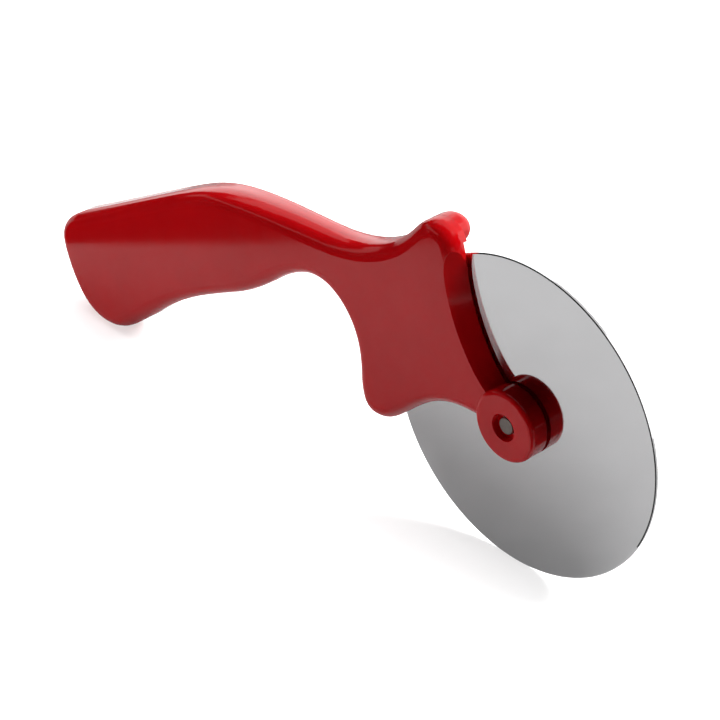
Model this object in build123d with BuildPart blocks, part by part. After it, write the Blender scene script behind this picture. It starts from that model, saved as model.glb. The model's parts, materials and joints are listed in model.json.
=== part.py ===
from build123d import *
import math
import os

# Pastry cutter wheel: a mirror-polished disc blade turning on a steel axle pin, held by the
# near cheek of a red moulded handle. X runs along the tool (blade toward +X), Z is up, Y runs
# away from the cheek. The blade rim and the butt of the handle both touch Z = 0.

# Blade and axle
BLADE_R = 50.0
BLADE_T = 1.0
BEVEL_W = 0.4
RIM_T = 0.7
AXLE_X = 80.0
AXLE_Z = BLADE_R

PIN_R = 2.75
PIN_TIP_Y = -6.3
HEAD_R = 6.5
HEAD_T = 2.0
HEAD_EDGE_R = 1.4
PIN_TIP_CHAMFER = 0.3
RUN_GAP = 0.05

BUSH_R = 4.5
BUSH_HALF = 0.8
BUSH_FLANGE_R = 6.0
BUSH_FLANGE_T = 0.3

WASHER_R = 7.0
WASHER_T = 0.4
WASHER_GAP = 0.1
POCKET_R = 7.3
POCKET_FLOOR_Y = -1.4

# Handle
HEAD_NEAR = 6.6
HEAD_FAR = 6.15
GRIP_HALF = 7.5
EDGE_R = 4.4
FAR_EDGE_R = 3.5
BLADE_CLEAR_R = 53.3
CHEEK_INNER_Y = -1.3
BOSS_R = 11.2
BOSS_FACE_Y = -7.5
BOSS_EDGE_R = 1.5
CBORE_R = 4.3
CBORE_FLOOR_Y = -5.2

# Hollow inside of the handle
WALL = 2.4
HOLLOW_DEPTH = 4.2
RIB_T = 1.6
RIB_X = (-185.0, -150.0, -112.0)
PEG_AT = ((-190.0, -33.0), (-131.0, 4.0), (-84.0, 21.0))
PEG_BOSS_R = 4.0
PEG_R = 2.0
PEG_REACH = 3.0
PEG_GAP = 0.05


def side_plane(y):
    """Plane across the tool at the given Y, centred on the axle: local x = X, local y = Z."""
    return Plane(origin=(AXLE_X, y, AXLE_Z), x_dir=(1, 0, 0), z_dir=(0, -1, 0))


# Side outline of the handle, measured from the axle; one closed smooth curve through these points.
TOP_PTS = (
    (-202.5, -13.4), (-190.0, -6.8), (-170.0, 3.9), (-150.0, 14.5), (-131.0, 23.0),
    (-112.0, 26.9), (-88.0, 28.9), (-67.5, 31.0), (-53.5, 36.0), (-42.8, 44.0),
)
HORN_PTS = ((-36.8, 50.3), (-31.0, 52.8), (-25.0, 50.8), (-22.2, 44.5))
FRONT_PTS = ((-21.0, 40.0), (-17.2, 35.0), (-13.5, 29.0), (-9.5, 22.5), (-4.5, 16.0))
BOSS_PTS = ((1.2, 9.5), (2.2, 3.0), (-5.0, -2.6))
LOWER_PTS = ((-17.9, -3.7), (-27.4, -6.2), (-36.8, -12.2), (-44.6, -19.2))
HEEL_PTS = ((-51.0, -23.2), (-57.5, -22.4), (-60.8, -16.5), (-61.6, -8.0), (-63.6, 1.2))
UNDER_PTS = (
    (-69.0, 9.0), (-78.5, 13.4), (-90.8, 10.3), (-108.6, -2.5), (-130.2, -14.2),
    (-150.5, -26.3), (-171.0, -42.8),
)
BUTT_PTS = (
    (-179.0, -48.2), (-188.0, -49.97), (-197.5, -46.8), (-204.6, -39.0), (-208.6, -30.5),
    (-209.7, -21.0),
)
OUTLINE_PTS = (
    TOP_PTS + HORN_PTS + FRONT_PTS + BOSS_PTS + LOWER_PTS + HEEL_PTS + UNDER_PTS + BUTT_PTS
)

# Concave front face of the near cheek: it has a crisp outer edge and leans back from the blade.
# The points give its inner edge; the lean is the step from there to the outer edge (X, Y, Z).
BEVEL_PTS = (
    (-17.8, 54.0), (-20.4, 48.0), (-21.3, 43.0), (-21.0, 38.5), (-19.9, 34.0), (-18.5, 30.0),
    (-16.8, 26.0), (-14.7, 22.0), (-12.2, 18.0), (-9.2, 14.0), (-5.2, 10.0), (0.4, 6.0), (8.0, 0.0),
)
BEVEL_LEAN = Vector(-4.3, -5.3, -1.0)

# Outline of the far side, which ends at an arc just outside the blade rim.
FAR_HORN_PTS = ((-36.8, 50.3), (-31.0, 52.8), (-26.6, 51.0), (-26.0, 47.2))
FAR_HEEL_PTS = (
    (-50.4, -19.2), (-53.0, -23.0), (-57.5, -22.4), (-60.8, -16.5), (-61.6, -8.0), (-63.6, 1.2),
)
SLOT_ANGLES = (127, 138, 150, 162, 174, 186, 196)
SLOT_PTS = tuple(
    (BLADE_CLEAR_R * math.cos(math.radians(a)), BLADE_CLEAR_R * math.sin(math.radians(a)))
    for a in SLOT_ANGLES
)
FAR_OUTLINE_PTS = TOP_PTS + FAR_HORN_PTS + SLOT_PTS + FAR_HEEL_PTS + UNDER_PTS + BUTT_PTS


def arc_middle(start, end, tangent):
    """Middle of the arc from start to end that leaves start along tangent."""
    chord = end - start
    side = Vector(-chord.Y, chord.X) * 0.5
    bend = tangent.dot(side) * 2 / (chord.length + tangent.dot(chord))
    return (start + end) * 0.5 + side * bend


def arc_pair(start, start_dir, end, end_dir):
    """Two arcs tangent to each other, from start along start_dir to end along end_dir."""
    step = end - start
    a = 2 * (1 - start_dir.dot(end_dir))
    b = 2 * step.dot(start_dir + end_dir)
    c = -step.dot(step)
    reach = -2 * c / (b + math.sqrt(b * b - 4 * a * c))
    middle = (start + end + (start_dir - end_dir) * reach) * 0.5
    ThreePointArc(start, arc_middle(start, middle, start_dir), middle)
    ThreePointArc(middle, arc_middle(end, middle, -end_dir), end)


def guided(points):
    """Points of a closed outline with the direction of the smooth curve through them."""
    stations = [Vector(x, z) for x, z in points]
    guide = Edge.make_spline(stations, periodic=True)
    return [(p, guide.tangent_at(guide.param_at_point(p))) for p in stations]


near_guide = guided(OUTLINE_PTS)
far_guide = guided(FAR_OUTLINE_PTS)

# Each outline is a run of smoothly joined arcs that follows its guide curve.
with BuildSketch(Plane.XY) as outline:
    with BuildLine():
        for k in range(len(near_guide)):
            arc_pair(*near_guide[k - 1], *near_guide[k])
    make_face()

with BuildSketch(Plane.XY) as far_outline:
    with BuildLine():
        for k in range(len(far_guide)):
            arc_pair(*far_guide[k - 1], *far_guide[k])
    make_face()

# Half widths of the handle seen from above: slim at the head, wider along the grip.
PLAN_FRONT_X = 20.0
PLAN_HEAD_X = -70.0
PLAN_GRIP_X = -125.0
PLAN_BACK_X = -225.0


def plan_half(sign, head_half, grip_half):
    """Half plan of the handle on the given Y side of the mid plane, measured from the axle."""
    head = sign * head_half
    grip = sign * grip_half
    Polyline((PLAN_HEAD_X, head), (PLAN_FRONT_X, head), (PLAN_FRONT_X, 0), (PLAN_BACK_X, 0),
             (PLAN_BACK_X, grip), (PLAN_GRIP_X, grip))
    Spline((PLAN_GRIP_X, grip), (PLAN_HEAD_X, head), tangents=((1, 0), (1, 0)))


def side_edges(solid, y_limit):
    """Edges that run round the side face of a shell, leaving out the seams within that face."""
    outer = [e for e in solid.edges() if (e @ 0.5).Y * y_limit > y_limit * y_limit]
    return [e for e in outer if abs((e % 0.5).Z) < 0.9999 or e.length < 4.0]


FLOOR = Plane(origin=(AXLE_X, 0, 0), x_dir=(1, 0, 0), z_dir=(0, 0, 1))
TALL = 200.0              # more than the tool in any direction
SIDE_FACE_FROM_Y = 5.8    # edges farther out than this belong to a side face
HOLLOW_FRONT_X = -66.0    # the head in front of this is solid
PEG_PLACES = [Location((x, z)) for x, z in PEG_AT]

bevel_start = Vector(AXLE_X, CHEEK_INNER_Y, AXLE_Z) - BEVEL_LEAN * 0.5
bevel_plane = Plane(origin=bevel_start, x_dir=(1, 0, 0), z_dir=(0, -1, 0))

# Outline of the hollow: the side outline moved inward by the wall, kept behind the head.
with BuildSketch(Plane.XY) as hollow:
    add(outline.sketch)
    offset(amount=-WALL, kind=Kind.ARC)
    with Locations((HOLLOW_FRONT_X + TALL / 2, 0)):
        Rectangle(TALL, TALL, mode=Mode.SUBTRACT)
    for rib_x in RIB_X:
        with Locations((rib_x, 0)):
            Rectangle(RIB_T, TALL, mode=Mode.SUBTRACT)
    with Locations(*PEG_PLACES):
        Circle(PEG_BOSS_R, mode=Mode.SUBTRACT)

with BuildPart() as near_shell:
    with BuildSketch(side_plane(0)):
        add(outline.sketch)
    extrude(amount=GRIP_HALF)
    with BuildSketch(FLOOR):
        with BuildLine():
            plan_half(-1, HEAD_NEAR, GRIP_HALF)
        make_face()
    extrude(amount=TALL, both=True, mode=Mode.INTERSECT)
    fillet(side_edges(near_shell, -SIDE_FACE_FROM_Y), EDGE_R)
    # leaning front face; the cut starts clear of the mid plane
    with BuildSketch(bevel_plane):
        with BuildLine():
            Spline(BEVEL_PTS)
            Polyline(BEVEL_PTS[-1], (8.0, -14.0), (60.0, -14.0), (60.0, 60.0), (-17.8, 60.0),
                     BEVEL_PTS[0])
        make_face()
    extrude(amount=BEVEL_LEAN.length * 3, dir=BEVEL_LEAN.normalized(), mode=Mode.SUBTRACT)
    # hollow of the grip, open toward the far shell
    with BuildSketch(side_plane(0)):
        add(hollow.sketch)
    extrude(amount=HOLLOW_DEPTH, mode=Mode.SUBTRACT)
    # alignment pegs
    with BuildSketch(side_plane(PEG_REACH)):
        with Locations(*PEG_PLACES):
            Circle(PEG_R)
    extrude(amount=PEG_REACH + 1.0)
    # room for the blade
    with BuildSketch(side_plane(0)):
        Circle(BLADE_CLEAR_R)
    extrude(amount=-CHEEK_INNER_Y, mode=Mode.SUBTRACT)
    # axle boss with its rounded face edge
    with BuildSketch(side_plane(CHEEK_INNER_Y)):
        Circle(BOSS_R)
    extrude(amount=CHEEK_INNER_Y - BOSS_FACE_Y)
    rim = near_shell.edges().filter_by(GeomType.CIRCLE).filter_by_position(
        Axis.Y, BOSS_FACE_Y - 0.01, BOSS_FACE_Y + 0.01)
    fillet(rim, BOSS_EDGE_R)
    # pocket for the washer, bore for the pin, and the counterbore round the pin's end
    with BuildSketch(side_plane(CHEEK_INNER_Y)):
        Circle(POCKET_R)
    extrude(amount=CHEEK_INNER_Y - POCKET_FLOOR_Y, mode=Mode.SUBTRACT)
    with BuildSketch(side_plane(CHEEK_INNER_Y)):
        Circle(PIN_R)
    extrude(amount=TALL, mode=Mode.SUBTRACT)
    with BuildSketch(side_plane(CBORE_FLOOR_Y)):
        Circle(CBORE_R)
    extrude(amount=TALL, mode=Mode.SUBTRACT)

with BuildPart() as far_shell:
    with BuildSketch(side_plane(0)):
        add(far_outline.sketch)
    extrude(amount=-GRIP_HALF)
    with BuildSketch(FLOOR):
        with BuildLine():
            plan_half(1, HEAD_FAR, GRIP_HALF)
        make_face()
    extrude(amount=TALL, both=True, mode=Mode.INTERSECT)
    fillet(side_edges(far_shell, SIDE_FACE_FROM_Y), FAR_EDGE_R)
    with BuildSketch(side_plane(0)):
        add(hollow.sketch)
    extrude(amount=-HOLLOW_DEPTH, mode=Mode.SUBTRACT)
    # sockets for the pegs of the near shell
    with BuildSketch(side_plane(0)):
        with Locations(*PEG_PLACES):
            Circle(PEG_R + PEG_GAP)
    extrude(amount=-(PEG_REACH + PEG_GAP), mode=Mode.SUBTRACT)

# Turned pieces: each section lies in the half plane above the axle, local x = Y, local y = radius.
SECTION = Plane(origin=(AXLE_X, 0, AXLE_Z), x_dir=(0, 1, 0), z_dir=(1, 0, 0))
AXLE = Axis((AXLE_X, 0, AXLE_Z), (0, 1, 0))


blade_half = BLADE_T / 2
edge_half = RIM_T / 2
bevel_r = BLADE_R - BEVEL_W
with BuildPart() as blade:
    with BuildSketch(SECTION):
        with BuildLine():
            Polyline((-blade_half, BUSH_R), (-blade_half, bevel_r), (-edge_half, BLADE_R),
                     (edge_half, BLADE_R), (blade_half, bevel_r), (blade_half, BUSH_R), close=True)
        make_face()
    revolve(axis=AXLE)

# Bearing bush pressed into the blade, flanged on the far side.
bush_bore = PIN_R + RUN_GAP
flange_y = blade_half + BUSH_FLANGE_T
with BuildPart() as bush:
    with BuildSketch(SECTION):
        with BuildLine():
            Polyline((-BUSH_HALF, bush_bore), (-BUSH_HALF, BUSH_R), (blade_half, BUSH_R),
                     (blade_half, BUSH_FLANGE_R), (flange_y, BUSH_FLANGE_R), (flange_y, bush_bore),
                     close=True)
        make_face()
    revolve(axis=AXLE)

# Washers on the pin, one on each side of the bush.
near_washer_y = -BUSH_HALF - WASHER_GAP
far_washer_y = flange_y + WASHER_GAP
with BuildPart() as near_washer:
    with BuildSketch(side_plane(near_washer_y)):
        Circle(WASHER_R)
        Circle(PIN_R + RUN_GAP, mode=Mode.SUBTRACT)
    extrude(amount=WASHER_T)

with BuildPart() as far_washer:
    with BuildSketch(side_plane(far_washer_y)):
        Circle(WASHER_R)
        Circle(PIN_R + RUN_GAP, mode=Mode.SUBTRACT)
    extrude(amount=-WASHER_T)

# Axle pin: pressed into the boss, low domed head on the far side.
head_y = far_washer_y + WASHER_T
with BuildPart() as axle_pin:
    with BuildSketch(side_plane(PIN_TIP_Y)):
        Circle(PIN_R)
    extrude(amount=PIN_TIP_Y - head_y)
    chamfer(axle_pin.faces().sort_by(Axis.Y)[0].edges(), PIN_TIP_CHAMFER)
    with BuildSketch(side_plane(head_y)):
        Circle(HEAD_R)
    extrude(amount=-HEAD_T)
    fillet(axle_pin.faces().sort_by(Axis.Y)[-1].edges(), HEAD_EDGE_R)

os.makedirs("parts", exist_ok=True)
pieces = {
    "near_shell": near_shell,
    "far_shell": far_shell,
    "blade": blade,
    "bush": bush,
    "near_washer": near_washer,
    "far_washer": far_washer,
    "axle_pin": axle_pin,
}
for piece_name, piece in pieces.items():
    piece.part.label = piece_name
    export_step(piece.part, f"parts/{piece_name}.step")
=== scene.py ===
import bpy
import json
import math
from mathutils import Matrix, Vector

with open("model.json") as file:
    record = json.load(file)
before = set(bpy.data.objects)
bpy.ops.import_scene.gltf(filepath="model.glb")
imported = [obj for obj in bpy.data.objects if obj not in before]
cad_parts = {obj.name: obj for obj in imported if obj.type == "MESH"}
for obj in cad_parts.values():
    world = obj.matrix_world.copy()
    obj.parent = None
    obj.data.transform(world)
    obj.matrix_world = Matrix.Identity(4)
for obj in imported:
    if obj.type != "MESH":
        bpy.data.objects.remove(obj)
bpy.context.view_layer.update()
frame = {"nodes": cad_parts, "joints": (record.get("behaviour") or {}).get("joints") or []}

NODES = frame["nodes"]
AXLE = Vector(frame["joints"][0]["pos_m"])

# all lengths are metres and all angles degrees, in the CAD frame

# the grip's slight crown across its thickness, which fades out where the head begins
CROWN_HALF = 0.0056
CROWN_RISE = 0.0007
CROWN_FADES_FROM_X = 0.035
CROWN_ENDS_AT_X = 0.050

# camera
CAMERA_PLACE = (0.4235, -0.3885, 0.4011)
CAMERA_DOWN = 32.70
CAMERA_TURN = 46.54
CAMERA_LENS_MM = 110.0
CAMERA_SENSOR_MM = 36.0

# floors
FLOOR_HALF = 4.0
FLOOR_SHADE = 0.91
BOUNCE_SHADE = 0.225
BOUNCE_SINK = 0.0002
PAPER_VARIATION = 0.005

# cards that lie on the floor are lifted clear of it
CARD_LIFT = 0.0006


# ---------------------------------------------------------------- node helpers

def new_material(name):
    mat = bpy.data.materials.new(name)
    mat.use_nodes = True
    tree = mat.node_tree
    tree.nodes.clear()
    out = tree.nodes.new("ShaderNodeOutputMaterial")
    bsdf = tree.nodes.new("ShaderNodeBsdfPrincipled")
    tree.links.new(bsdf.outputs["BSDF"], out.inputs["Surface"])
    return mat, tree, bsdf


def node(tree, kind, **sockets):
    n = tree.nodes.new(kind)
    for key, value in sockets.items():
        n.inputs[key.replace("_", " ")].default_value = value
    return n


def feed(tree, socket, value):
    """Sets a socket to a number, or links it to another node's output."""
    if isinstance(value, (int, float)):
        socket.default_value = value
    else:
        tree.links.new(value, socket)


def noise(tree, vector, scale, detail=3.0, rough=0.5):
    n = node(tree, "ShaderNodeTexNoise", Scale=scale, Detail=detail, Roughness=rough)
    tree.links.new(vector, n.inputs["Vector"])
    return n.outputs["Fac"]


def ramp(tree, value, *stops):
    """Each stop is a place from 0 to 1 and a colour."""
    n = tree.nodes.new("ShaderNodeValToRGB")
    for end, (place, colour) in zip(n.color_ramp.elements, stops, strict=True):
        end.position = place
        end.color = (*colour, 1.0)
    tree.links.new(value, n.inputs["Fac"])
    return n.outputs["Color"]


def spread(tree, value, low, high):
    n = node(tree, "ShaderNodeMapRange", To_Min=low, To_Max=high)
    tree.links.new(value, n.inputs["Value"])
    return n.outputs["Result"]


def math_node(tree, operation, *values):
    n = tree.nodes.new("ShaderNodeMath")
    n.operation = operation
    for slot, value in enumerate(values):
        feed(tree, n.inputs[slot], value)
    return n.outputs["Value"]


def combine(tree, x, y, z):
    n = tree.nodes.new("ShaderNodeCombineXYZ")
    for slot, value in enumerate((x, y, z)):
        feed(tree, n.inputs[slot], value)
    return n.outputs["Vector"]


def separate(tree, vector):
    n = tree.nodes.new("ShaderNodeSeparateXYZ")
    tree.links.new(vector, n.inputs["Vector"])
    return n.outputs


def bump(tree, height, strength, distance, normal=None):
    n = node(tree, "ShaderNodeBump", Strength=strength, Distance=distance)
    tree.links.new(height, n.inputs["Height"])
    if normal is not None:
        tree.links.new(normal, n.inputs["Normal"])
    return n.outputs["Normal"]


def object_coords(tree):
    return tree.nodes.new("ShaderNodeTexCoord").outputs["Object"]


def about_axle(tree):
    """Radius from the axle and angle round it, as two outputs."""
    place = separate(tree, object_coords(tree))
    x = math_node(tree, "SUBTRACT", place["X"], AXLE.x)
    z = math_node(tree, "SUBTRACT", place["Z"], AXLE.z)
    angle = math_node(tree, "ARCTAN2", z, x)
    xx = math_node(tree, "MULTIPLY", x, x)
    zz = math_node(tree, "MULTIPLY", z, z)
    radius = math_node(tree, "SQRT", math_node(tree, "ADD", xx, zz))
    return radius, angle


# ---------------------------------------------------------------- materials

def crown(tree, where):
    """A normal that rounds the grip's top and underside across its thickness."""
    place = separate(tree, where)
    from_middle = math_node(tree, "ABSOLUTE", place["Y"])
    within = math_node(tree, "MINIMUM", from_middle, CROWN_HALF)
    wave = math_node(tree, "COSINE", math_node(tree, "MULTIPLY", within, math.pi / CROWN_HALF))
    fade = node(
        tree, "ShaderNodeMapRange",
        From_Min=CROWN_FADES_FROM_X, From_Max=CROWN_ENDS_AT_X, To_Min=CROWN_RISE / 2, To_Max=0.0,
    )
    tree.links.new(place["X"], fade.inputs["Value"])
    height = math_node(tree, "MULTIPLY", wave, fade.outputs["Result"])
    return bump(tree, height, strength=1.0, distance=1.0)


def red_plastic():
    mat, tree, bsdf = new_material("red_plastic")
    where = object_coords(tree)
    cloud = noise(tree, where, scale=35.0, detail=4.0, rough=0.55)
    colour = ramp(tree, cloud, (0.3, (0.60, 0.0032, 0.0060)), (0.7, (0.68, 0.0038, 0.0070)))
    tree.links.new(colour, bsdf.inputs["Base Color"])
    smear = noise(tree, where, scale=140.0, detail=5.0, rough=0.6)
    tree.links.new(spread(tree, smear, low=0.07, high=0.15), bsdf.inputs["Roughness"])
    bsdf.inputs["IOR"].default_value = 1.49
    bsdf.inputs["Subsurface Weight"].default_value = 0.35
    bsdf.inputs["Subsurface Radius"].default_value = (1.0, 0.08, 0.06)
    bsdf.inputs["Subsurface Scale"].default_value = 0.005
    # moulding sink marks on the crown, and a fine grain on those
    sink = noise(tree, where, scale=22.0, detail=1.0, rough=0.4)
    sunk = bump(tree, sink, strength=0.10, distance=0.0006, normal=crown(tree, where))
    grain = noise(tree, where, scale=1400.0, detail=2.0)
    grained = bump(tree, grain, strength=0.02, distance=0.00005, normal=sunk)
    tree.links.new(grained, bsdf.inputs["Normal"])
    return mat


def polished_steel():
    """Mirror-polished sheet with a faint haze and very fine rings from its grinding."""
    mat, tree, bsdf = new_material("polished_steel")
    rings_per_metre = 5200.0
    radius, angle = about_axle(tree)
    along = combine(tree, math_node(tree, "MULTIPLY", radius, rings_per_metre), angle, 0.0)
    rings = noise(tree, along, scale=1.0)
    haze = noise(tree, object_coords(tree), scale=28.0)
    colour = ramp(tree, haze, (0.25, (0.90, 0.90, 0.91)), (0.75, (0.94, 0.94, 0.95)))
    tree.links.new(colour, bsdf.inputs["Base Color"])
    bsdf.inputs["Metallic"].default_value = 1.0
    hazy = spread(tree, haze, low=0.03, high=0.07)
    ringed = spread(tree, rings, low=0.0, high=0.04)
    tree.links.new(math_node(tree, "ADD", hazy, ringed), bsdf.inputs["Roughness"])
    tree.links.new(bump(tree, rings, strength=0.02, distance=0.00002), bsdf.inputs["Normal"])
    return mat


def turned_steel():
    """Dull pin steel with turning lines and stains."""
    mat, tree, bsdf = new_material("turned_steel")
    lines_per_metre = 9000.0
    radius, _ = about_axle(tree)
    along = combine(tree, math_node(tree, "MULTIPLY", radius, lines_per_metre), 0.0, 0.0)
    lines = noise(tree, along, scale=1.0, detail=2.0)
    stain = noise(tree, object_coords(tree), scale=320.0, detail=4.0, rough=0.6)
    colour = ramp(tree, stain, (0.3, (0.22, 0.19, 0.17)), (0.7, (0.32, 0.28, 0.26)))
    tree.links.new(colour, bsdf.inputs["Base Color"])
    bsdf.inputs["Metallic"].default_value = 1.0
    tree.links.new(spread(tree, stain, low=0.28, high=0.42), bsdf.inputs["Roughness"])
    tree.links.new(bump(tree, lines, strength=0.25, distance=0.00003), bsdf.inputs["Normal"])
    return mat


def bearing_plastic():
    mat, tree, bsdf = new_material("bearing_plastic")
    where = object_coords(tree)
    cloud = noise(tree, where, scale=260.0)
    colour = ramp(tree, cloud, (0.3, (0.66, 0.64, 0.58)), (0.7, (0.74, 0.72, 0.66)))
    tree.links.new(colour, bsdf.inputs["Base Color"])
    tree.links.new(spread(tree, cloud, low=0.38, high=0.5), bsdf.inputs["Roughness"])
    grain = noise(tree, where, scale=2600.0, detail=2.0)
    tree.links.new(bump(tree, grain, strength=0.08, distance=0.00004), bsdf.inputs["Normal"])
    return mat


def finish_nodes():
    finishes = {
        red_plastic(): ("near_shell", "far_shell"),
        polished_steel(): ("blade",),
        turned_steel(): ("axle_pin",),
        bearing_plastic(): ("bush", "near_washer", "far_washer"),
    }
    for material, names in finishes.items():
        for name in names:
            slots = NODES[name].data.materials
            if not slots:
                slots.append(material)
            for k in range(len(slots)):
                slots[k] = material


# ---------------------------------------------------------------- floors and cards

def emission_material(name, strength):
    mat = bpy.data.materials.new(name)
    mat.use_nodes = True
    tree = mat.node_tree
    tree.nodes.clear()
    out = tree.nodes.new("ShaderNodeOutputMaterial")
    glow = node(tree, "ShaderNodeEmission", Color=(1.0, 1.0, 1.0, 1.0), Strength=strength)
    tree.links.new(glow.outputs["Emission"], out.inputs["Surface"])
    return mat


def paper_material(name, shade):
    mat, tree, bsdf = new_material(name)
    paper = noise(tree, object_coords(tree), scale=60.0)
    darker, lighter = shade - PAPER_VARIATION, shade + PAPER_VARIATION
    tone = ramp(tree, paper, (0.3, (darker,) * 3), (0.7, (lighter,) * 3))
    tree.links.new(tone, bsdf.inputs["Base Color"])
    bsdf.inputs["Roughness"].default_value = 0.85
    bsdf.inputs["Specular IOR Level"].default_value = 0.1
    return mat


def flat_mesh(name, corners, material):
    mesh = bpy.data.meshes.new(name)
    mesh.from_pydata(corners, [], [(0, 1, 2, 3)])
    mesh.materials.append(material)
    obj = bpy.data.objects.new(name, mesh)
    bpy.context.scene.collection.objects.link(obj)
    return obj


def level(x_range, y_range, z):
    """Corners of a level rectangle, its normal up."""
    (x0, x1), (y0, y1) = x_range, y_range
    return ((x0, y0, z), (x1, y0, z), (x1, y1, z), (x0, y1, z))


def upright(start, end, bottom, top, start_top=None):
    """Corners of an upright card that stands over the line from start to end, each an (x, y)."""
    if start_top is None:
        start_top = top
    return ((*start, bottom), (*end, bottom), (*end, top), (*start, start_top))


def make_floors():
    """The white floor the camera sees, and a greyer one that only reflections and bounced light see."""
    side = (-FLOOR_HALF, FLOOR_HALF)
    seen = flat_mesh("floor", level(side, side, 0.0), paper_material("studio_floor", FLOOR_SHADE))
    seen.visible_diffuse = False
    seen.visible_glossy = False
    seen.visible_shadow = False
    grey_paper = paper_material("floor_grey", BOUNCE_SHADE)
    grey = flat_mesh("floor_bounce", level(side, side, -BOUNCE_SINK), grey_paper)
    grey.visible_camera = False
    return seen, grey


def glow_card(name, strength, corners):
    """A card that only the gloss sees."""
    card = flat_mesh(name, corners, emission_material(name, strength))
    card.visible_camera = False
    card.visible_diffuse = False
    card.visible_transmission = False
    card.visible_volume_scatter = False
    card.visible_shadow = False


def make_cards():
    """What the plastic and the blade mirror: a studio, most of it white and some of it dark."""
    # a white backdrop, higher at its +X end, and a grey ceiling over the far half
    glow_card("back_card", 1.5, upright((-3.5, 1.0), (2.5, 1.6), bottom=0.0, top=1.7, start_top=1.2))
    glow_card("ceiling", 0.6, level((-2.5, 1.5), (-0.1, 1.6), 1.6))
    # a near-black card in front of the blade, which only the gloss sees, is painted shade standing in
    # for the shaded floor there; a white card lies under the handle and one at the back
    glow_card("painted_shade_card", 0.03, level((0.114, 1.5), (-1.2, -0.022), CARD_LIFT))
    glow_card("under_table", 1.2, level((-0.25, 0.03), (0.012, 0.10), CARD_LIFT))
    glow_card("back_table", 1.3, level((-3.0, 2.0), (0.35, 1.6), CARD_LIFT))
    # a pale strip over the near top edge, and a black flag on the butt's side
    glow_card("strip", 0.45, upright((-1.10, 0.05), (-0.30, -1.05), bottom=0.25, top=0.43))
    glow_card("flag", 0.0, upright((-0.175, -0.018), (0.5312, -0.7634), bottom=0.0, top=0.11))


# ---------------------------------------------------------------- lights and camera

def add_light(kind, name, toward):
    """A lamp that shines from that direction and isn't mirrored."""
    data = bpy.data.lights.new(name, kind)
    obj = bpy.data.objects.new(name, data)
    bpy.context.scene.collection.objects.link(obj)
    obj.rotation_euler = toward.to_track_quat("Z", "Y").to_euler()
    obj.visible_glossy = False
    return obj


def add_sun(name, strength, width, azimuth, elevation, shadow=True):
    a, e = math.radians(azimuth), math.radians(elevation)
    toward = Vector((math.cos(a) * math.cos(e), math.sin(a) * math.cos(e), math.sin(e)))
    sun = add_light("SUN", name, toward)
    sun.data.energy = strength
    sun.data.angle = math.radians(width)
    sun.data.use_shadow = shadow
    return sun


def add_area(name, watts, size, place, target):
    lamp = add_light("AREA", name, Vector(place) - Vector(target))
    lamp.data.energy = watts
    lamp.data.size = size
    lamp.location = place


def only_lights(light, name, objects):
    """The light reaches these objects and nothing else."""
    group = bpy.data.collections.new(name)
    for obj in objects:
        group.objects.link(obj)
    light.light_linking.receiver_collection = group


def make_world():
    """White where the camera looks past the floor, and unlit for everything else."""
    world = bpy.data.worlds.new("studio_world")
    bpy.context.scene.world = world
    world.use_nodes = True
    back = world.node_tree.nodes["Background"]
    back.inputs["Color"].default_value = (1.0, 1.0, 1.0, 1.0)
    back.inputs["Strength"].default_value = 1.0
    world.cycles_visibility.diffuse = False
    world.cycles_visibility.glossy = False


def make_lights(floors):
    """One wide lamp whitens the floors, one lights the tool from behind and two fill its front."""
    whiten = add_sun("floor_light", 4.2, width=60.0, azimuth=90.0, elevation=80.0, shadow=False)
    only_lights(whiten, "floor_only", floors)
    add_sun("key_light", 4.6, width=36.0, azimuth=45.0, elevation=50.0)
    add_sun("front_fill", 0.5, width=90.0, azimuth=-150.0, elevation=15.0, shadow=False)
    add_area("butt_fill", watts=0.95, size=0.25, place=(-0.42, -0.30, 0.04), target=(-0.10, 0.0, 0.03))


def make_camera():
    data = bpy.data.cameras.new("photo_camera")
    data.sensor_width = CAMERA_SENSOR_MM
    data.lens = CAMERA_LENS_MM
    data.clip_start = 0.01
    data.clip_end = 20.0
    camera = bpy.data.objects.new("photo_camera", data)
    bpy.context.scene.collection.objects.link(camera)
    camera.location = CAMERA_PLACE
    camera.rotation_euler = (math.radians(90.0 - CAMERA_DOWN), 0.0, math.radians(CAMERA_TURN))
    bpy.context.scene.camera = camera


finish_nodes()
studio_floors = make_floors()
make_world()
make_lights(studio_floors)
make_cards()
make_camera()
bpy.context.scene.view_settings.view_transform = "Standard"
